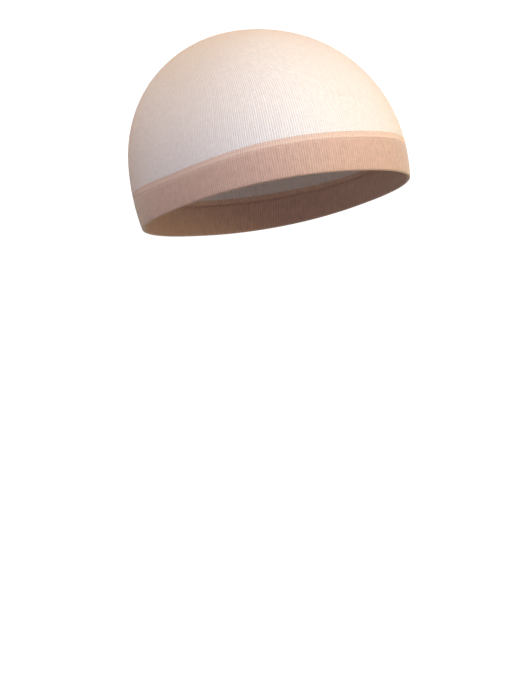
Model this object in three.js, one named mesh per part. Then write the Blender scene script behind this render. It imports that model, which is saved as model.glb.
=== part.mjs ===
// A knitted wig cap in its worn form: a sheer stocking crown, the light shadow strip below it,
// the turned double welt that grips the hairline, and the linked seam that closes the crown.
// Millimetres, +Z up, the face looks along -Y and the wearer's right is -X. The origin is the
// highest point of the crown's inside, where the top of the head bears against the cap.

import * as THREE from 'three';
import { mergeVertices } from 'three/addons/utils/BufferGeometryUtils.js';

// The worn form, measured over the cloth from the middle of the head at its widest level
const HALF_BREADTH = 75;
const FRONT_REACH = 95;
const BACK_REACH = 92;
const CROWN_RISE = 86;
const OVAL_DROP = 106;
const CROWN_LEAN = 12;
const BACK_WIDENING = 2.3;

// How full the oval's curves are: 2 is an ellipse, more is squarer
const PLAN_FULLNESS = 2.35;
const FRONT_FULLNESS = 2.15;
const BACK_FULLNESS = 2.05;

// The rim lies in one plane, higher over the brow than at the nape
const RIM_TILT_DEG = 15;
const RIM_DROP = 23.4;

// Widths along the cloth, up from the rim, and the thickness of each knit
const WELT_WIDTH = 20;
const STRIP_WIDTH = 3.6;
const CROWN_WALL = 1.0;
const WELT_WALL = 2.0;
const JOIN_GAP = 0.3;

// The share of their width that the welt and strip lose over the ears, where the knit is drawn widest
const EAR_DRAW = 0.11;

// The closing seam runs from ear to ear behind the top of the head
const SEAM_BACK_DEG = 34;
const SEAM_LENGTH = 46;
const SEAM_WIDTH = 3.0;
const SEAM_HEIGHT = 1.3;

// The wales rise upright from the rim, and above this height round the head they turn back to the seam
const TURN_START_DEG = 20;

// How finely the curves are divided
const COLUMNS = 80;
const CROWN_ROWS = 20;
const FOLD_STEPS = 4;
const SEAM_STATIONS = 18;
const SEAM_ROUND_STEPS = 6;
const RIM_SAMPLES = 1440;
const WALE_SAMPLES = 120;

const UP = new THREE.Vector3(0, 0, 1);
const rad = THREE.MathUtils.degToRad;

// The outside of the cloth in a direction seen from the middle of the head

function clothPoint(direction) {
  const d = direction.clone().normalize();
  const reach = d.y < 0 ? FRONT_REACH : BACK_REACH;
  const rise = d.z > 0 ? CROWN_RISE : OVAL_DROP;
  const level = Math.hypot(d.x, d.y);
  const ahead = level > 0 ? Math.max(-d.y / level, 0) ** 2 : 0;
  const fullness = THREE.MathUtils.lerp(BACK_FULLNESS, FRONT_FULLNESS, ahead);
  const across = Math.abs(d.x / HALF_BREADTH) ** PLAN_FULLNESS;
  const along = Math.abs(d.y / reach) ** PLAN_FULLNESS;
  const plan = (across + along) ** (1 / PLAN_FULLNESS);
  const radius = (plan ** fullness + Math.abs(d.z / rise) ** fullness) ** (-1 / fullness);
  const p = d.multiplyScalar(radius);
  p.x *= 1 + (BACK_WIDENING / HALF_BREADTH) * (p.y / BACK_REACH);
  p.y += CROWN_LEAN * (p.z / CROWN_RISE);
  return p;
}

// The direction in which clothPoint finds a given point

function directionTo(point) {
  const d = point.clone();
  d.y -= CROWN_LEAN * (d.z / CROWN_RISE);
  d.x /= 1 + (BACK_WIDENING / HALF_BREADTH) * (d.y / BACK_REACH);
  return d.normalize();
}

function clothNormal(direction) {
  const step = 1e-3;
  const d = direction.clone().normalize();
  const side = new THREE.Vector3(1, 0, 0).addScaledVector(d, -d.x);
  if (side.length() < 0.3) side.set(0, 1, 0).addScaledVector(d, -d.y);
  side.normalize();
  const over = d.clone().cross(side);
  const span = (way) => {
    const ahead = clothPoint(d.clone().addScaledVector(way, step));
    return ahead.sub(clothPoint(d.clone().addScaledVector(way, -step)));
  };
  return span(side).cross(span(over)).normalize();
}

// The rim: where the cloth meets the rim's plane, in even steps along its girth, from the brow

function heightOverRim(p) {
  return p.z * Math.cos(rad(RIM_TILT_DEG)) + p.y * Math.sin(rad(RIM_TILT_DEG)) + RIM_DROP;
}

function rimPoint(turn) {
  const level = new THREE.Vector3(Math.sin(turn), -Math.cos(turn), 0);
  const at = (lift) => clothPoint(level.clone().multiplyScalar(Math.cos(lift)).addScaledVector(UP, Math.sin(lift)));
  let low = rad(-75);
  let high = rad(60);
  for (let i = 0; i < 45; i += 1) {
    const middle = (low + high) / 2;
    if (heightOverRim(at(middle)) > 0) high = middle;
    else low = middle;
  }
  return at((low + high) / 2);
}

function evenRimPoints(count) {
  const samples = Array.from({ length: RIM_SAMPLES }, (_, i) => rimPoint((2 * Math.PI * i) / RIM_SAMPLES));
  const rim = new THREE.CatmullRomCurve3(samples, true);
  rim.arcLengthDivisions = RIM_SAMPLES;
  return rim.getSpacedPoints(count).slice(0, count);
}

// A direction swung about the line from ear to ear, backwards for a positive angle

function swungBack(direction, angle) {
  return direction.clone().applyAxisAngle(new THREE.Vector3(1, 0, 0), -angle);
}

// The seam: share runs from -1 at the wearer's right end to 1 at the left end

function seamDirection(share) {
  const back = rad(SEAM_BACK_DEG);
  const middle = clothPoint(new THREE.Vector3(0, Math.sin(back), Math.cos(back)));
  return directionTo(middle.add(new THREE.Vector3((share * SEAM_LENGTH) / 2, 0, 0)));
}

// The front half of the tube and its back half meet along the seam, column facing column

function seamShare(column) {
  const quarter = COLUMNS / 4;
  if (column <= quarter) return column / quarter;
  if (column <= 3 * quarter) return (2 * quarter - column) / quarter;
  return (column - 4 * quarter) / quarter;
}

// A column of the cloth along its wales, from the rim at share 0 to the seam at share 1

class Column {
  constructor(rim, index) {
    this.foot = directionTo(rim);
    this.drawn = 1 - EAR_DRAW * Math.sin((2 * Math.PI * index) / COLUMNS) ** 4;
    this.head = swungBack(seamDirection(seamShare(index)), -rad(SEAM_BACK_DEG));
    this.lengths = [0];
    let last = clothPoint(this.direction(0));
    for (let i = 1; i <= WALE_SAMPLES; i += 1) {
      const next = clothPoint(this.direction(i / WALE_SAMPLES));
      this.lengths.push(this.lengths[i - 1] + next.distanceTo(last));
      last = next;
    }
  }

  direction(share) {
    const upright = this.foot.clone().lerp(this.head, share).normalize();
    const lift = Math.asin(THREE.MathUtils.clamp(upright.z, -1, 1));
    const turned = THREE.MathUtils.smoothstep(lift, rad(TURN_START_DEG), Math.PI / 2);
    return swungBack(upright, rad(SEAM_BACK_DEG) * turned);
  }

  shareAt(length) {
    const upWale = length * this.drawn;
    let i = 1;
    while (i < WALE_SAMPLES && this.lengths[i] < upWale) i += 1;
    const run = (upWale - this.lengths[i - 1]) / (this.lengths[i] - this.lengths[i - 1]);
    return (i - 1 + run) / WALE_SAMPLES;
  }

  point(share, depth) {
    const d = this.direction(share);
    return clothPoint(d).addScaledVector(clothNormal(d), -depth);
  }
}

const columns = evenRimPoints(COLUMNS).map((rim, index) => new Column(rim, index));

// Rings of cloth: at a length up from the rim, or at a share of the crown above its lower edge

const CROWN_START = WELT_WIDTH + JOIN_GAP + STRIP_WIDTH + JOIN_GAP;

function ringAtLength(length, depth) {
  return columns.map((column) => column.point(column.shareAt(length), depth));
}

function ringUpCrown(rise, depth) {
  return columns.map((column) => {
    const start = column.shareAt(CROWN_START);
    return column.point(start + (1 - start) * rise, depth);
  });
}

// Faces between one ring and the next, counterclockwise seen from outside

function skin(corners, lower, upper) {
  const count = lower.length;
  for (let k = 0; k < count; k += 1) {
    const next = (k + 1) % count;
    corners.push(lower[k], lower[next], upper[next]);
    corners.push(lower[k], upper[next], upper[k]);
  }
}

function endFace(corners, ring, outward) {
  for (let k = 1; k < ring.length - 1; k += 1) {
    if (outward) corners.push(ring[0], ring[k], ring[k + 1]);
    else corners.push(ring[0], ring[k + 1], ring[k]);
  }
}

function closedMesh(name, corners, material) {
  const geometry = mergeVertices(new THREE.BufferGeometry().setFromPoints(corners), 1e-4);
  geometry.computeVertexNormals();
  const mesh = new THREE.Mesh(geometry, material);
  mesh.name = name;
  return mesh;
}

// A ring of cloth whose section is a closed list of [length up from the rim, depth] places

function clothRing(name, section, material) {
  const rings = section.map(([length, depth]) => ringAtLength(length, depth));
  const corners = [];
  rings.forEach((ring, i) => skin(corners, ring, rings[(i + 1) % rings.length]));
  return closedMesh(name, corners, material);
}

function steps(from, to, count) {
  return Array.from({ length: count + 1 }, (_, i) => from + ((to - from) * i) / count);
}

// Crown: one sheer ply, its outside and inside both drawn together along the seam

function crown() {
  const rises = steps(0, 1, CROWN_ROWS);
  const inside = rises.slice().reverse().map((rise) => ringUpCrown(rise, CROWN_WALL));
  const outside = rises.map((rise) => ringUpCrown(rise, 0));
  const rings = [...inside, ...outside];
  const corners = [];
  for (let i = 0; i < rings.length - 1; i += 1) skin(corners, rings[i], rings[i + 1]);
  const sheerKnit = new THREE.MeshStandardMaterial({ color: '#efdacc', roughness: 0.75, metalness: 0 });
  return closedMesh('crown', corners, sheerKnit);
}

// Shadow strip: the last courses above the welt, which thicken from the crown to the welt

function shadowStrip() {
  const foot = WELT_WIDTH + JOIN_GAP;
  const head = foot + STRIP_WIDTH;
  const section = [
    [foot, 0],
    [(foot + head) / 2, 0],
    [head, 0],
    [head, CROWN_WALL],
    [(foot + head) / 2, (CROWN_WALL + WELT_WALL) / 2],
    [foot, WELT_WALL],
  ];
  const lightKnit = new THREE.MeshStandardMaterial({ color: '#ecc9ba', roughness: 0.8, metalness: 0 });
  return clothRing('shadow_strip', section, lightKnit);
}

// Welt: the tube turned in on itself and linked, so its rim is a round fold

function welt() {
  const fold = WELT_WALL / 2;
  const aroundFold = steps(Math.PI, 0, 2 * FOLD_STEPS).map((turn) => [
    fold - fold * Math.sin(turn),
    fold - fold * Math.cos(turn),
  ]);
  const waist = (WELT_WIDTH + fold) / 2;
  const section = [...aroundFold.reverse(), [waist, WELT_WALL], [WELT_WIDTH, WELT_WALL], [WELT_WIDTH, 0], [waist, 0]];
  const doubleKnit = new THREE.MeshStandardMaterial({ color: '#d2ab9c', roughness: 0.85, metalness: 0 });
  return clothRing('welt', section.reverse(), doubleKnit);
}

// Closing seam: a low round ridge of linking that lies on the crown along the meeting line

function closingSeam() {
  const rings = steps(-1, 1, SEAM_STATIONS).map((share) => {
    const d = seamDirection(share);
    const up = clothNormal(d);
    const ahead = clothPoint(seamDirection(share + 0.01)).sub(clothPoint(seamDirection(share - 0.01)));
    const across = up.clone().cross(ahead).normalize();
    const foot = clothPoint(d).addScaledVector(up, JOIN_GAP);
    return steps(0, Math.PI, SEAM_ROUND_STEPS).map((turn) => foot.clone()
      .addScaledVector(across, (Math.cos(turn) * SEAM_WIDTH) / 2)
      .addScaledVector(up, Math.sin(turn) * SEAM_HEIGHT));
  });
  const corners = [];
  endFace(corners, rings[0], false);
  for (let i = 0; i < rings.length - 1; i += 1) skin(corners, rings[i], rings[i + 1]);
  endFace(corners, rings[rings.length - 1], true);
  const linking = new THREE.MeshStandardMaterial({ color: '#e4bea6', roughness: 0.8, metalness: 0 });
  return closedMesh('closing_seam', corners, linking);
}

// Assembly, set so that the inside of the crown's top is the origin

const cap = new THREE.Group();
cap.position.set(0, -CROWN_LEAN, -(CROWN_RISE - CROWN_WALL));
cap.add(crown(), shadowStrip(), welt(), closingSeam());

export default cap;
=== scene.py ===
# A knitted wig cap in its worn form: a sheer stocking crown, a light shadow strip below it, a turned
# double welt that grips the hairline, and the linked seam that closes the crown behind the top.
# Sizes are in millimetres, and each mesh is placed in metres.

import math
import bpy
import numpy as np
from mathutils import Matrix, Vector


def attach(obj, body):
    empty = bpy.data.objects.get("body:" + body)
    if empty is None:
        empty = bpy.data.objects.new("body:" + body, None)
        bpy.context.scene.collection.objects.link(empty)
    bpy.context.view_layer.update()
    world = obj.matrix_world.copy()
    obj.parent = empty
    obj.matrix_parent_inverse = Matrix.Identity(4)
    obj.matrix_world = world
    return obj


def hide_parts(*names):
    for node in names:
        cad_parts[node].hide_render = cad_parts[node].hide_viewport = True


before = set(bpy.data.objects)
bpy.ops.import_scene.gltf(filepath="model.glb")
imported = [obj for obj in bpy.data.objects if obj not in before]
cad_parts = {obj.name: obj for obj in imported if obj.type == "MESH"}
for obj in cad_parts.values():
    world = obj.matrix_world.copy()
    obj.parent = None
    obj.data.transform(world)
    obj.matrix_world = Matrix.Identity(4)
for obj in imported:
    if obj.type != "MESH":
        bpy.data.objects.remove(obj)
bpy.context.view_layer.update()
bpy.ops.object.select_all(action="DESELECT")


# View: the right front of the cap from about the level of its rim, through a long lens. The camera looks
# at a place well below the rim, so the cap stands high in the picture.

# The middle of the worn form, at its widest level
FORM_MIDDLE = np.array([0.0, -12.0, -85.0])

VIEW_TURN = math.radians(-37.3)
VIEW_RISE = math.radians(1.5)
EYE_DISTANCE = 1660
AIM_LEFT = 3.4
AIM_DROP = 112.2


def turned_to(target, place):
    """The turn that points a camera or a light at its place to the target."""
    return (target - place).to_track_quat("-Z", "Y").to_euler()


towards_eye = np.array([
    math.sin(VIEW_TURN) * math.cos(VIEW_RISE),
    -math.cos(VIEW_TURN) * math.cos(VIEW_RISE),
    math.sin(VIEW_RISE),
])
to_picture_right = np.array([math.cos(VIEW_TURN), math.sin(VIEW_TURN), 0.0])
eye = Vector((FORM_MIDDLE + EYE_DISTANCE * towards_eye) / 1000)
aim = Vector((FORM_MIDDLE - AIM_LEFT * to_picture_right - np.array([0, 0, AIM_DROP])) / 1000)
bpy.ops.object.camera_add(location=eye, rotation=turned_to(aim, eye))
camera = bpy.context.object
camera.data.sensor_width = 36
camera.data.lens = 138
camera.data.clip_start = 0.1
camera.data.clip_end = 30
bpy.context.scene.camera = camera


# Crown: one ply of sheer nylon and elastane stocking knit. A tube of 360 wales is drawn on from the brow
# to the nape, and gathered into a seam behind the top. Each wale is a rib of loops, and the web between
# two ribs opens as the knit stretches, so it is sheerest where the cap is widest.

# The outside of the cloth, from the form's middle: an oval, wider behind, whose top leans back. Where a
# fullness is 2 it is an ellipse, and above that it is squarer.
HALF_BREADTH = 75
FRONT_REACH = 95
BACK_REACH = 92
CROWN_RISE = 86
OVAL_DROP = 106
CROWN_LEAN = 12
BACK_WIDENING = 2.3
PLAN_FULLNESS = 2.35
FRONT_FULLNESS = 2.15
BACK_FULLNESS = 2.05

# The plane of the rim, by its tilt and how far it passes under the form's middle
RIM_TILT = math.radians(15)
RIM_DROP = 23.4

# The seam that closes the tube, and the angle over the widest level from which the wales turn back to it
SEAM_BACK = math.radians(34)
SEAM_LENGTH = 46
TURN_START = math.radians(20)

# Joins between the pieces, by their length up the cloth from the rim
STRIP_FOOT = 20.15
CROWN_FOOT = 24.05

# The share of their width that the welt and strip lose over the ears, where the knit is drawn widest
EAR_DRAW = 0.11

# The knit. The mesh has four columns to a wale: up a rib, over its top, down again, and across the web.
# A rib has its full width where the wales are the full pitch apart, and is narrower where they lie closer.
WALES = 360
WALE_COLUMNS = 4
WEB_COLUMN = 3
FULL_PITCH = 1.47
RIB_FOOT = 0.34
RIB_TOP = 0.14
RIB_RISE = 0.13
COURSES = 130
SHEER_PLY = 0.2

# Rows of the crown's mesh, and the power that brings them closer together near the seam
CROWN_ROWS = 34
ROW_CROWDING = 1.2

# How far a wale wanders to either side, in pitches, how narrow and wide its rib gets, and at how many
# heights these change
WANDER = 0.13
NARROW_RIB = 0.8
WIDE_RIB = 1.2
WANDER_HEIGHTS = 12

# Limits between which the rim is sought, and how fine the form is worked out
LOWEST_LIFT = math.radians(-75)
HIGHEST_LIFT = math.radians(60)
HALVINGS = 45
RIM_SAMPLES = 1441
TABLE_ROWS = 121
NORMAL_STEP = 0.001
WALE_STEP = 0.004

# A direction this near to the line from ear to ear takes another line to find its normal by
NEAR_EAR = 0.3


def unit(vectors):
    """The same directions at length 1."""
    return vectors / np.linalg.norm(vectors, axis=-1, keepdims=True)


def widening(y):
    """How much wider than a plain oval the form is at y."""
    return 1 + (BACK_WIDENING / HALF_BREADTH) * (y / BACK_REACH)


def cloth_points(directions):
    """The outside of the cloth in each direction seen from the form's middle."""
    dx, dy, dz = np.moveaxis(unit(directions), -1, 0)
    reach = np.where(dy < 0, FRONT_REACH, BACK_REACH)
    rise = np.where(dz > 0, CROWN_RISE, OVAL_DROP)
    ahead = np.clip(-dy / np.maximum(np.hypot(dx, dy), 1e-9), 0, 1) ** 2
    fullness = BACK_FULLNESS + (FRONT_FULLNESS - BACK_FULLNESS) * ahead
    across = np.abs(dx / HALF_BREADTH) ** PLAN_FULLNESS
    along = np.abs(dy / reach) ** PLAN_FULLNESS
    plan = (across + along) ** (1 / PLAN_FULLNESS)
    radius = (plan ** fullness + np.abs(dz / rise) ** fullness) ** (-1 / fullness)
    x, y, z = dx * radius, dy * radius, dz * radius
    return np.stack([x * widening(y), y + CROWN_LEAN * z / CROWN_RISE, z], axis=-1)


def directions_to(points):
    """The directions in which cloth_points finds these points."""
    x, y, z = np.moveaxis(points, -1, 0)
    y = y - CROWN_LEAN * z / CROWN_RISE
    return unit(np.stack([x / widening(y), y, z], axis=-1))


def cloth_normals(directions):
    """The way out of the cloth, square to two short spans of it that cross at each direction."""
    d = unit(directions)
    side = np.array([1.0, 0, 0]) - d * d[..., :1]
    steep = np.linalg.norm(side, axis=-1, keepdims=True) < NEAR_EAR
    side = unit(np.where(steep, np.array([0, 1.0, 0]) - d * d[..., 1:2], side))
    spans = []
    for way in (side, np.cross(d, side)):
        spans.append(cloth_points(d + NORMAL_STEP * way) - cloth_points(d - NORMAL_STEP * way))
    return unit(np.cross(spans[0], spans[1]))


def rim_points(turns):
    """Where the cloth meets the rim's plane, found by halving the lift between two limits."""
    low = np.full(len(turns), LOWEST_LIFT)
    high = np.full(len(turns), HIGHEST_LIFT)
    for _ in range(HALVINGS):
        lift = (low + high) / 2
        level = np.cos(lift)
        directions = np.stack([level * np.sin(turns), -level * np.cos(turns), np.sin(lift)], axis=-1)
        points = cloth_points(directions)
        above = points[:, 2] * math.cos(RIM_TILT) + points[:, 1] * math.sin(RIM_TILT) + RIM_DROP > 0
        high = np.where(above, lift, high)
        low = np.where(above, low, lift)
    return points


rim_samples = rim_points(np.linspace(0, 2 * np.pi, RIM_SAMPLES))
rim_girth = np.concatenate([[0], np.cumsum(np.linalg.norm(np.diff(rim_samples, axis=0), axis=1))])


def rim_at(rounds):
    """Points on the rim by their share of its girth, from the brow towards the wearer's left."""
    run = np.mod(rounds, 1) * rim_girth[-1]
    return np.stack([np.interp(run, rim_girth, rim_samples[:, axis]) for axis in range(3)], axis=-1)


def seam_directions(shares):
    """Directions along the seam, from -1 at the wearer's right end to 1 at the left."""
    middle = cloth_points(np.array([0, math.sin(SEAM_BACK), math.cos(SEAM_BACK)]))
    reach = np.stack([shares * SEAM_LENGTH / 2, 0 * shares, 0 * shares], axis=-1)
    return directions_to(middle + reach)


def swung_back(directions, angle):
    """Directions swung about the line from ear to ear, backwards for a positive angle."""
    x, y, z = np.moveaxis(directions, -1, 0)
    back = y * np.cos(angle) + z * np.sin(angle)
    up = z * np.cos(angle) - y * np.sin(angle)
    return np.stack([x, back, up], axis=-1)


def wale_directions(rounds, shares):
    """Up along the wales, upright from the rim at share 0, and turning back to the seam at share 1."""
    # Each quarter of the rim leads to a half of the seam, so front and back meet all along it
    quarter = np.mod(rounds, 1) * 4
    seam_shares = np.where(quarter <= 1, quarter, np.where(quarter <= 3, 2 - quarter, quarter - 4))
    foot = directions_to(rim_at(rounds))
    head = swung_back(seam_directions(seam_shares), -SEAM_BACK)
    s = np.asarray(shares)[..., None]
    upright = unit(foot * (1 - s) + head * s)
    lift = np.arcsin(np.clip(upright[..., 2], -1, 1))
    t = np.clip((lift - TURN_START) / (math.pi / 2 - TURN_START), 0, 1)
    return swung_back(upright, SEAM_BACK * t * t * (3 - 2 * t))


wale_rounds = (np.arange(WALES) + 0.5) / WALES
table_shares = np.linspace(0, 1, TABLE_ROWS)
table_rows = [wale_directions(wale_rounds, np.full(WALES, share)) for share in table_shares]
wale_table = cloth_points(np.stack(table_rows))
wale_lengths = np.cumsum(np.linalg.norm(np.diff(wale_table, axis=0), axis=2), axis=0)
wale_lengths = np.concatenate([np.zeros((1, WALES)), wale_lengths])


def shares_at(length):
    """How far up each wale a length from the rim lies, as a share of the whole wale."""
    drawn = length * (1 - EAR_DRAW * np.sin(2 * np.pi * wale_rounds) ** 4)
    return np.array([np.interp(drawn[k], wale_lengths[:, k], table_shares) for k in range(WALES)])


# No knit is quite even: each wale wanders a little to either side, and its rib is wider in some places
uneven = np.random.default_rng(7)
wander_heights = np.linspace(0, 1, WANDER_HEIGHTS)
wale_drift = uneven.uniform(-WANDER, WANDER, (WANDER_HEIGHTS, WALES))
wale_weight = uneven.uniform(NARROW_RIB, WIDE_RIB, (WANDER_HEIGHTS, WALES))


def wander(table, shares):
    """The value of each wale at its own share of the way up, from a table with a row for each height."""
    return np.array([np.interp(shares[k], wander_heights, table[:, k]) for k in range(WALES)])


def knit_row(shares, depth, rise):
    """One row of corners round the cap at a depth in the cloth, those at a rib's feet deeper by rise."""
    here = cloth_points(wale_directions(wale_rounds, shares))
    along_wale = unit(cloth_points(wale_directions(wale_rounds, shares - WALE_STEP)) - here)
    along_row = (np.roll(here, -1, axis=0) - np.roll(here, 1, axis=0)) / 2
    spacing = np.linalg.norm(np.cross(along_row, along_wale), axis=1)
    tight = np.minimum(spacing / FULL_PITCH, 1)
    corners = np.arange(WALE_COLUMNS * WALES + 1)
    corner = corners % WALE_COLUMNS
    wale = (corners // WALE_COLUMNS) % WALES
    # The wales wander freely up to half their height, and less and less from there to the seam
    free = np.clip(2 - 2 * shares, 0, 1)
    drift = (free * wander(wale_drift, shares))[wale]
    weight = (1 + free * (wander(wale_weight, shares) - 1))[wale]
    aside = np.array([-RIB_FOOT, -RIB_TOP, RIB_TOP, RIB_FOOT])[corner] * tight[wale] * weight
    rounds = (corners // WALE_COLUMNS + 0.5 + drift + aside / np.maximum(spacing[wale], 1e-6)) / WALES
    row_shares = np.interp(np.mod(rounds, 1), wale_rounds, shares, period=1)
    directions = wale_directions(rounds, row_shares)
    lowered = depth + np.where(np.isin(corner, (0, WEB_COLUMN)), rise * tight[wale], 0)
    return cloth_points(directions) - cloth_normals(directions) * lowered[:, None]


def new_grid(name, columns, rows):
    """A grid that spans -1 to 1 both ways, and its corners."""
    bpy.ops.object.select_all(action="DESELECT")
    bpy.ops.mesh.primitive_grid_add(x_subdivisions=columns, y_subdivisions=rows, size=2)
    grid = bpy.context.object
    grid.name = name
    corners = np.empty(len(grid.data.vertices) * 3)
    grid.data.vertices.foreach_get("co", corners)
    return grid, corners.reshape(-1, 3)


def place_corners(piece, points):
    """Puts a mesh's corners at points in millimetres from the form's middle."""
    piece.data.vertices.foreach_set("co", ((points + FORM_MIDDLE) / 1000).ravel())


def weld_and_smooth():
    """Welds the mesh where it meets itself, and shades it smooth except along its open edges."""
    bpy.ops.object.mode_set(mode="EDIT")
    bpy.ops.mesh.select_all(action="SELECT")
    bpy.ops.mesh.remove_doubles(threshold=1e-6)
    bpy.ops.mesh.normals_make_consistent(inside=False)
    bpy.ops.mesh.select_all(action="DESELECT")
    bpy.ops.mesh.select_mode(type="EDGE")
    bpy.ops.mesh.select_non_manifold()
    bpy.ops.mesh.mark_sharp()
    bpy.ops.object.mode_set(mode="OBJECT")
    bpy.ops.object.shade_smooth()


def knitted_piece(name, profile):
    """A mesh whose columns follow the wales. Its profile gives the shares, depth and rise of each row."""
    rows = np.array([knit_row(*row) for row in profile])
    columns = WALE_COLUMNS * WALES
    piece, corners = new_grid(name, columns, len(rows) - 1)
    column = np.rint((corners[:, 0] + 1) / 2 * columns).astype(int)
    row = np.rint((corners[:, 1] + 1) / 2 * (len(rows) - 1)).astype(int)
    middles = np.array([face.center.x for face in piece.data.polygons])
    in_web = ((middles + 1) / 2 * columns).astype(int) % WALE_COLUMNS == WEB_COLUMN
    piece.data.polygons.foreach_set("material_index", in_web.astype(int))
    place_corners(piece, rows[row, column])
    weld_and_smooth()
    return piece


def thicken(piece, ply):
    """Gives the cloth its ply, inwards from the outside."""
    bpy.ops.object.modifier_add(type="SOLIDIFY")
    piece.modifiers["Solidify"].thickness = ply / 1000
    piece.modifiers["Solidify"].offset = -1
    bpy.ops.object.modifier_apply(modifier="Solidify")


crown_foot = shares_at(CROWN_FOOT)
crown = knitted_piece("crown_knit", [
    (crown_foot + (1 - crown_foot) * part, 0, RIB_RISE)
    for part in 1 - (1 - np.linspace(0, 1, CROWN_ROWS)) ** ROW_CROWDING
])
thicken(crown, SHEER_PLY)

# Nylon's index of refraction, and the height of the relief of its loops, in metres
NYLON_IOR = 1.53
LOOP_RELIEF = 0.0001

# How steeply a loop's two legs slant, in courses to a wale, and the specks in its dye, in wales and courses
LEG_SLANT = 1.2
SPECK_WALES = 2
SPECK_COURSES = 3

# The middle of a rib's three columns, as a share of its wale
RIB_MIDDLE = WEB_COLUMN / 2 / WALE_COLUMNS


def linear(colour):
    """An sRGB hex colour in linear light, with full cover."""
    channels = [int(colour[i:i + 2], 16) / 255 for i in (1, 3, 5)]
    return [c / 12.92 if c <= 0.04045 else ((c + 0.055) / 1.055) ** 2.4 for c in channels] + [1.0]


def add_node(material, kind, inputs=None, **settings):
    """Adds a node with its settings. An input is a value or the socket that it is linked from."""
    node = material.node_tree.nodes.new(kind)
    for name, value in settings.items():
        setattr(node, name, value)
    for socket, value in (inputs or {}).items():
        if isinstance(value, bpy.types.NodeSocket):
            material.node_tree.links.new(value, node.inputs[socket])
        else:
            node.inputs[socket].default_value = value
    return node


def new_material(name):
    """A material that has no shader yet."""
    material = bpy.data.materials.new(name)
    material.use_nodes = True
    material.node_tree.nodes.remove(material.node_tree.nodes["Principled BSDF"])
    return material


def finish_material(material, inputs):
    """Gives the material its shader, with these inputs."""
    shader = add_node(material, "ShaderNodeBsdfPrincipled", inputs)
    material.node_tree.links.new(shader.outputs[0], material.node_tree.nodes["Material Output"].inputs[0])


def stitch_relief(material, courses, leg_slant):
    """The place on the knit, and the heights of its loops, whose two legs slant to a V in each course."""
    uv = add_node(material, "ShaderNodeUVMap", uv_map="UVMap")
    split = add_node(material, "ShaderNodeSeparateXYZ", {0: uv.outputs[0]})
    wale = add_node(material, "ShaderNodeMath", {0: split.outputs["X"], 1: WALES}, operation="MULTIPLY")
    within = add_node(material, "ShaderNodeMath", {0: wale.outputs[0]}, operation="FRACT")
    off_rib = add_node(
        material, "ShaderNodeMath",
        {0: within.outputs[0], 1: RIB_MIDDLE},
        operation="SUBTRACT",
    )
    leg = add_node(material, "ShaderNodeMath", {0: off_rib.outputs[0]}, operation="ABSOLUTE")
    course = add_node(
        material, "ShaderNodeMath",
        {0: split.outputs["Y"], 1: courses},
        operation="MULTIPLY",
    )
    slanted = add_node(
        material, "ShaderNodeMath",
        {0: leg.outputs[0], 1: leg_slant, 2: course.outputs[0]},
        operation="MULTIPLY_ADD",
    )
    turn = add_node(
        material, "ShaderNodeMath",
        {0: slanted.outputs[0], 1: 2 * math.pi},
        operation="MULTIPLY",
    )
    wave = add_node(material, "ShaderNodeMath", {0: turn.outputs[0]}, operation="SINE")
    return split, wave.outputs[0]


def uneven_tone(material, split, courses, darkest):
    """Shades of the loops, from the darkest to 1, in specks of a few loops and smaller."""
    place = add_node(material, "ShaderNodeCombineXYZ", {0: split.outputs["X"], 1: split.outputs["Y"]})
    in_specks = add_node(
        material, "ShaderNodeVectorMath",
        {0: place.outputs[0], 1: (WALES / SPECK_WALES, courses / SPECK_COURSES, 1)},
        operation="MULTIPLY",
    )
    noise = add_node(
        material, "ShaderNodeTexNoise",
        {"Vector": in_specks.outputs[0], "Scale": 1.0, "Detail": 3.0, "Roughness": 0.75},
    )
    tone = add_node(
        material, "ShaderNodeMapRange",
        {0: noise.outputs[0], 1: 0.3, 2: 0.7, 3: darkest, 4: 1.0},
    )
    return tone.outputs[0]


def colour_by_height(material, split, lower, start, upper, end):
    """A colour that turns from its lower to its upper one between two shares of the piece's height."""
    height = add_node(material, "ShaderNodeMapRange", {0: split.outputs["Y"], 1: start, 2: end})
    base_colour = add_node(
        material, "ShaderNodeMix",
        {0: height.outputs[0], 6: linear(lower), 7: linear(upper)},
        data_type="RGBA",
    )
    return base_colour.outputs[2]


def finish_knit(material, base_colour, shade, wave, relief, inputs):
    """The base colour with its shades, the loops raised by a share of their relief, and the yarn's own
    values.
    """
    shaded = add_node(
        material, "ShaderNodeMix",
        {0: 1.0, 6: base_colour, 7: shade},
        data_type="RGBA", blend_type="MULTIPLY",
    )
    bump = add_node(
        material, "ShaderNodeBump",
        {"Strength": relief, "Distance": LOOP_RELIEF, "Height": wave},
    )
    finish_material(material, {
        "Base Color": shaded.outputs[2],
        "IOR": NYLON_IOR,
        "Normal": bump.outputs[0],
        **inputs,
    })


# Nylon-covered elastane, dyed a pale beige: the loops of a rib lie close, so it keeps the full colour of
# the yarn, with the soft sheen of nylon. The courses are about 1 mm apart, which shows only as a fine grain
# with a little painted shade between them, and the dye and the draw of the yarn differ a little from place
# to place.
# Up the crown the colour turns peachier, partly because the knit is less stretched and denser there, and
# partly as painted light, which makes the lower crown whiter and bluer.
rib_yarn = new_material("nylon elastane yarn, knitted rib")
split, wave = stitch_relief(rib_yarn, COURSES, LEG_SLANT)
# Partly painted light: whiter and bluer low on the crown, peachier above where the knit is denser
base_colour = colour_by_height(rib_yarn, split, "#f6e8e4", 0.0, "#f2d8c2", 0.5)
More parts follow.
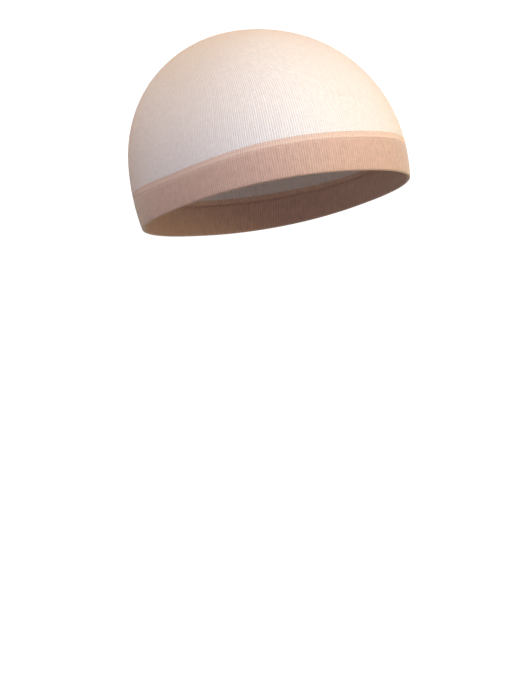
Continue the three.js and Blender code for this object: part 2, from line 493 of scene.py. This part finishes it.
# Painted shade: the rib is a little darker where the loops' relief is low, between the courses
painted_course_shade = add_node(rib_yarn, "ShaderNodeMapRange", {0: wave, 1: -1, 2: 1, 3: 0.975, 4: 1})
grain = uneven_tone(rib_yarn, split, COURSES, 0.86)
grain_and_painted_shade = add_node(rib_yarn, "ShaderNodeMath", {0: painted_course_shade.outputs[0], 1: grain}, operation="MULTIPLY")
finish_knit(rib_yarn, base_colour, grain_and_painted_shade.outputs[0], wave, 0.3, {
    "Roughness": 0.62,
    "Sheen Weight": 1.0,
    "Sheen Roughness": 0.4,
    "Sheen Tint": linear("#f0c49c"),
})
crown.data.materials.append(rib_yarn)

# The web between two ribs is only the single floats of yarn that cross from loop to loop. It lets some of
# the light through, and what it throws back is whiter than the ribs. Like them, it is whiter and bluer low
# on the crown, partly as painted light.
sheer_web = new_material("nylon elastane floats, sheer web")
split, wave = stitch_relief(sheer_web, COURSES, 0.0)
# Partly painted light: whiter and bluer low on the crown, peachier above where the knit is denser
base_colour = colour_by_height(sheer_web, split, "#fbf7fb", 0.0, "#f5e3d2", 0.5)
grain = uneven_tone(sheer_web, split, COURSES, 0.89)
finish_knit(sheer_web, base_colour, grain, wave, 0.3, {
    "Roughness": 0.55,
    "Alpha": 0.95,
    "Sheen Weight": 1.0,
    "Sheen Roughness": 0.4,
    "Sheen Tint": linear("#f0c49c"),
})
crown.data.materials.append(sheer_web)
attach(crown, "root")
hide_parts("crown")


# Shadow strip: the last courses before the welt, knitted tighter, so the yarn covers more and looks
# lighter than the welt. Two fine grooves between its courses run round the cap.

STRIP_PLY = 0.5
STRIP_COURSES = 5

# The outside from foot to top, by the part of the strip's height and the depth in the cloth
STRIP_PROFILE = (
    (0, 0.16), (0.08, 0.02), (0.2, 0.0),
    (0.3, 0.12), (0.42, 0.0),
    (0.52, 0.12), (0.64, 0.0),
    (0.88, 0.02), (1, 0.12),
)

strip = knitted_piece("shadow_strip_knit", [
    (shares_at(STRIP_FOOT + (CROWN_FOOT - STRIP_FOOT) * part), depth, RIB_RISE)
    for part, depth in STRIP_PROFILE
])
thicken(strip, STRIP_PLY)

# The crown's yarn in close courses: matt, nearly even in colour, and a little darker towards the crown.
# It covers the web as well as the ribs.
strip_yarn = new_material("nylon elastane yarn, close courses")
split, wave = stitch_relief(strip_yarn, STRIP_COURSES, LEG_SLANT)
base_colour = colour_by_height(strip_yarn, split, "#efcdbd", 0.5, "#e7c5b6", 1.0)
grain = uneven_tone(strip_yarn, split, STRIP_COURSES, 0.93)
finish_knit(strip_yarn, base_colour, grain, wave, 0.35, {
    "Roughness": 0.7,
    "Sheen Weight": 0.2,
    "Sheen Roughness": 0.4,
})
strip.data.materials.append(strip_yarn)
strip.data.materials.append(strip_yarn)
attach(strip, "root")
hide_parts("shadow_strip")


# Welt: the end of the tube turned in on itself and linked, so two plies lie together and the rim is a
# round fold. It has a heavier elastane, which makes it the darkest and closest knit of the cap.

WELT_PLIES = 1.9
WELT_COURSES = 44
WELT_RISE = 0.05

# The fold at the rim, and how far above it the plies are flat
FOLD_RADIUS = WELT_PLIES / 2
FOLD_RUNOUT = 1.2
FOLD_ROWS = 9

# Where the flat plies end below the strip, and their rows
INNER_END = 2.5
INNER_ROWS = 7
OUTER_END = 0.6
OUTER_ROWS = 9

# The linked edge of the inner ply is a low bead, given by the length below the strip, the depth past both
# plies and the rise of a rib. The outer ply's edge lies a little deeper than its face.
LINKED_EDGE = ((0, -0.3, 0), (0.2, 0.1, -0.35), (0.9, 0.25, -0.45), (1.3, 0, -WELT_RISE))
OUTER_EDGE_DEPTH = 0.18

# The profile, by length up from the rim, depth and rise: it goes down inside from the linked edge, round
# the fold, up outside and back over the top
welt_profile = [(STRIP_FOOT - below, WELT_PLIES + past, rise) for below, past, rise in LINKED_EDGE]
for length in np.linspace(STRIP_FOOT - INNER_END, FOLD_RADIUS + FOLD_RUNOUT, INNER_ROWS):
    welt_profile.append((length, WELT_PLIES, -WELT_RISE))
for turn in np.linspace(0, math.pi, FOLD_ROWS):
    length = FOLD_RADIUS - FOLD_RADIUS * math.sin(turn)
    depth = FOLD_RADIUS + FOLD_RADIUS * math.cos(turn)
    welt_profile.append((length, depth, -WELT_RISE * math.cos(turn)))
for length in np.linspace(FOLD_RADIUS + FOLD_RUNOUT, STRIP_FOOT - OUTER_END, OUTER_ROWS):
    welt_profile.append((length, 0, WELT_RISE))
welt_profile.append((STRIP_FOOT, OUTER_EDGE_DEPTH, WELT_RISE))
welt_profile.append(welt_profile[0])
welt = knitted_piece("welt_knit", [
    (shares_at(length), depth, rise)
    for length, depth, rise in welt_profile
])

# Two plies of covered elastane: matt from the front, with a pale sheen where they are seen from the side.
# The hollows between the ribs are darker with painted shade, and their loops don't slant.
for name, leg_slant, colour, roughness in (
    ("nylon elastane yarn, double welt", LEG_SLANT, "#e3bdaf", 0.75),
    # The hollows' darker colour is painted shade
    ("nylon elastane yarn, double welt, between ribs", 0.0, "#d6ab9b", 0.8),
):
    welt_yarn = new_material(name)
    split, wave = stitch_relief(welt_yarn, WELT_COURSES, leg_slant)
    grain = uneven_tone(welt_yarn, split, WELT_COURSES, 0.8)
    finish_knit(welt_yarn, linear(colour), grain, wave, 0.3, {
        "Roughness": roughness,
        "Sheen Weight": 1.0,
        "Sheen Roughness": 0.35,
        "Sheen Tint": linear("#fff2dc"),
    })
    welt.data.materials.append(welt_yarn)
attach(welt, "root")
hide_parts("welt")


# Closing seam: the front and back of the tube are gathered together behind the top of the crown and
# overedged with nylon thread. The raw edges roll into a low ridge under the stitches, which thins out
# towards its ends.

# The ridge, over the cloth and under it, and how much of the seam's length it takes up
SEAM_WIDTH = 3.0
SEAM_HEIGHT = 1.3
SEAM_DEPTH = 0.25
RIDGE_LIFT = 0.1
RIDGE_SPAN = 0.985
RIDGE_SIDES = 14

# The share of its size that the ridge loses towards its ends, how near them, and how blunt they are
END_LOSS = 0.5
LOSS_LATENESS = 2.5
END_BLUNTNESS = 20

# Stitches, and the gathers between them: their height, how much of it shows in the width, and the mesh
# columns to each
STITCHES = 22
GATHER_HEIGHT = 0.08
GATHER_IN_WIDTH = 0.4
GATHER_COLUMNS = 8


def seam_size(shares):
    """How much of its full width and height the ridge has along the seam."""
    thinned = 1 - END_LOSS * np.abs(shares) ** LOSS_LATENESS
    return thinned * np.sqrt(np.clip(1 - np.abs(shares) ** END_BLUNTNESS, 0, 1))


seam, corners = new_grid("closing_seam_roll", GATHER_COLUMNS * STITCHES, RIDGE_SIDES)
station = corners[:, 0]
turn = (corners[:, 1] + 1) * math.pi
seam_way = seam_directions(station * RIDGE_SPAN)
seam_up = cloth_normals(seam_way)
seam_across = unit(np.cross(seam_up, np.array([1.0, 0, 0])))
gathers = 1 + GATHER_HEIGHT * np.cos(station * math.pi * STITCHES)
wide = SEAM_WIDTH / 2 * seam_size(station) * (1 + GATHER_IN_WIDTH * (gathers - 1))
tall = np.where(np.sin(turn) > 0, SEAM_HEIGHT * gathers, SEAM_DEPTH) * seam_size(station)
beside = seam_across * (np.cos(turn) * wide)[:, None]
above = seam_up * (np.sin(turn) * tall + RIDGE_LIFT)[:, None]
place_corners(seam, cloth_points(seam_way) + beside + above)
weld_and_smooth()

# Stocking knit rolled up on itself: matt, with painted shade darkening the hollows between its loops, which
# are
# 0.7 mm wide, so there are 1500 to the metre
gathered_knit = new_material("gathered stocking knit")
place = add_node(gathered_knit, "ShaderNodeTexCoord")
loops = add_node(
    gathered_knit, "ShaderNodeTexNoise",
    {"Vector": place.outputs["Object"], "Scale": 1500, "Detail": 2},
)
# Painted shade: darker where the loops' relief is low
tone = add_node(
    gathered_knit, "ShaderNodeMix",
    {0: loops.outputs[0], 6: linear("#d8b096"), 7: linear("#f0ccb2")},
    data_type="RGBA",
)
bump = add_node(
    gathered_knit, "ShaderNodeBump",
    {"Strength": 0.7, "Distance": 0.0002, "Height": loops.outputs[0]},
)
finish_material(gathered_knit, {
    "Base Color": tone.outputs[2],
    "Roughness": 0.8,
    "IOR": NYLON_IOR,
    "Normal": bump.outputs[0],
})
seam.data.materials.append(gathered_knit)
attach(seam, "root")
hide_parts("closing_seam")

# One overedge stitch goes round the ridge on a slant, with its foot flat under it. Its ring is modelled
# once and copied along the seam, and each copy is fitted to the ridge at its place.

# The thread lies off the ridge's sides, over its top and under its edge, all lifted a little off the cloth.
# Each stitch slants along the seam, and the row stops short of the seam's ends.
THREAD_RADIUS = 0.17
THREAD_SLACK = 0.1
THREAD_OVER = 0.05
THREAD_UNDER = 0.2
THREAD_LIFT = 0.12
STITCH_SLANT = 0.75
STITCHED_SPAN = 0.95
RING_WIRE = 0.1

bpy.ops.object.select_all(action="DESELECT")
bpy.ops.mesh.primitive_torus_add(
    major_radius=1, minor_radius=RING_WIRE,
    major_segments=24, minor_segments=6,
)
stitches = bpy.context.object
stitches.name = "closing_seam_stitches"
rings = [stitches]
for _ in range(STITCHES - 1):
    ring = stitches.copy()
    ring.data = stitches.data.copy()
    bpy.context.collection.objects.link(ring)
    ring.select_set(True)
    rings.append(ring)

x, y, z = np.array([corner.co for corner in stitches.data.vertices]).T
round_ring = np.hypot(x, y)
side, high = x / round_ring, y / round_ring
swell = (round_ring - 1) / RING_WIRE * THREAD_RADIUS
for ring, share in zip(rings, (np.arange(STITCHES) + 0.5) / STITCHES * 2 - 1):
    way = seam_directions(np.array([share * STITCHED_SPAN]))
    up = cloth_normals(way)[0]
    along = unit(np.cross(np.cross(up, [1.0, 0, 0]), up))
    across = np.cross(up, along)
    size = seam_size(np.array([share * STITCHED_SPAN]))[0]
    reach = side * (SEAM_WIDTH / 2 * size + THREAD_SLACK + swell)
    raised = high * (np.where(high > 0, (SEAM_HEIGHT + THREAD_OVER) * size, THREAD_UNDER) + swell)
    onward = z / RING_WIRE * THREAD_RADIUS + side * STITCH_SLANT
    offsets = np.stack([reach, raised + THREAD_LIFT, onward], axis=-1) @ np.array([across, up, along])
    place_corners(ring, cloth_points(way)[0] + offsets)
bpy.ops.object.join()
weld_and_smooth()

# Spun nylon, lighter and a little glossier than the knit. Its twist shows as a band each 0.4 mm, with
# painted shade darkening the grooves between the bands.
nylon_thread = new_material("spun nylon thread")
place = add_node(nylon_thread, "ShaderNodeTexCoord")
twist = add_node(
    nylon_thread, "ShaderNodeTexWave",
    {"Vector": place.outputs["Object"], "Scale": 900, "Distortion": 1.5},
    bands_direction="DIAGONAL",
)
# Painted shade: darker where the twist's relief is low
tone = add_node(
    nylon_thread, "ShaderNodeMix",
    {0: twist.outputs[1], 6: linear("#e9cdb8"), 7: linear("#f8e4d4")},
    data_type="RGBA",
)
bump = add_node(
    nylon_thread, "ShaderNodeBump",
    {"Strength": 0.5, "Distance": 0.00008, "Height": twist.outputs[1]},
)
finish_material(nylon_thread, {
    "Base Color": tone.outputs[2],
    "Roughness": 0.5,
    "IOR": NYLON_IOR,
    "Sheen Weight": 0.2,
    "Normal": bump.outputs[0],
})
stitches.data.materials.append(nylon_thread)
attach(stitches, "root")


# Stage: a plain pale floor that curves up all round, far below the cap, which stays at the height that it
# is worn at. Of the five big soft lights, a strong cool one stands high in front, warm ones at the right
# front, the right and the left, and one behind.

ROOM_RADIUS = 5000
ROOM_HEIGHT = 8000
FLOOR_LEVEL = -1800
FLOOR_CURVE = 1800

bpy.ops.object.select_all(action="DESELECT")
bpy.ops.mesh.primitive_cylinder_add(
    vertices=96,
    radius=ROOM_RADIUS / 1000,
    depth=ROOM_HEIGHT / 1000,
    location=(0, 0, (FLOOR_LEVEL + ROOM_HEIGHT / 2) / 1000),
    end_fill_type="NGON",
)
floor = bpy.context.object
floor.name = "pale_floor"
bpy.ops.object.transform_apply(location=True)
bpy.ops.object.modifier_add(type="BEVEL")
floor.modifiers["Bevel"].width = FLOOR_CURVE / 1000
floor.modifiers["Bevel"].segments = 12
bpy.ops.object.modifier_apply(modifier="Bevel")
bpy.ops.object.shade_smooth()
floor.visible_diffuse = False
floor.visible_shadow = False

# Matt paint that glows a little, so the floor is as pale where the lights don't reach
pale_paint = new_material("pale studio paint")
finish_material(pale_paint, {
    "Base Color": linear("#f4f4f4"),
    "Roughness": 0.9,
    "Emission Color": linear("#ffffff"),
    "Emission Strength": 0.85,
})
floor.data.materials.append(pale_paint)

studio = bpy.context.scene.world or bpy.data.worlds.new("studio")
bpy.context.scene.world = studio
studio.use_nodes = True
studio.node_tree.nodes["Background"].inputs["Color"].default_value = linear("#fffaf8")
studio.node_tree.nodes["Background"].inputs["Strength"].default_value = 0.2

# Each light's place to the picture's right, towards the eye and up, its size in metres and its watts
for name, right, near, high, size, power, colour in (
    ("soft_key", 1450, 1250, 950, 1.4, 17.3, "#ffecb4"),
    ("soft_right", 1800, 150, 100, 1.4, 10, "#ffeb9e"),
    ("soft_front", 50, 1250, 1750, 1.6, 41, "#e7f1ff"),
    ("soft_left", -1700, 700, 600, 1.6, 4.2, "#ffccb0"),
    ("soft_back", 300, -2000, 900, 1.8, 18, "#fff4e8"),
):
    away = right * to_picture_right + near * towards_eye + np.array([0, 0, high])
    middle = Vector(FORM_MIDDLE / 1000)
    spot = Vector((FORM_MIDDLE + away) / 1000)
    bpy.ops.object.light_add(type="AREA", location=spot, rotation=turned_to(middle, spot))
    lamp = bpy.context.object
    lamp.name = name
    lamp.data.size = size
    lamp.data.energy = power
    lamp.data.color = linear(colour)[:3]
    lamp.visible_camera = False

bpy.context.scene.view_settings.view_transform = "Standard"
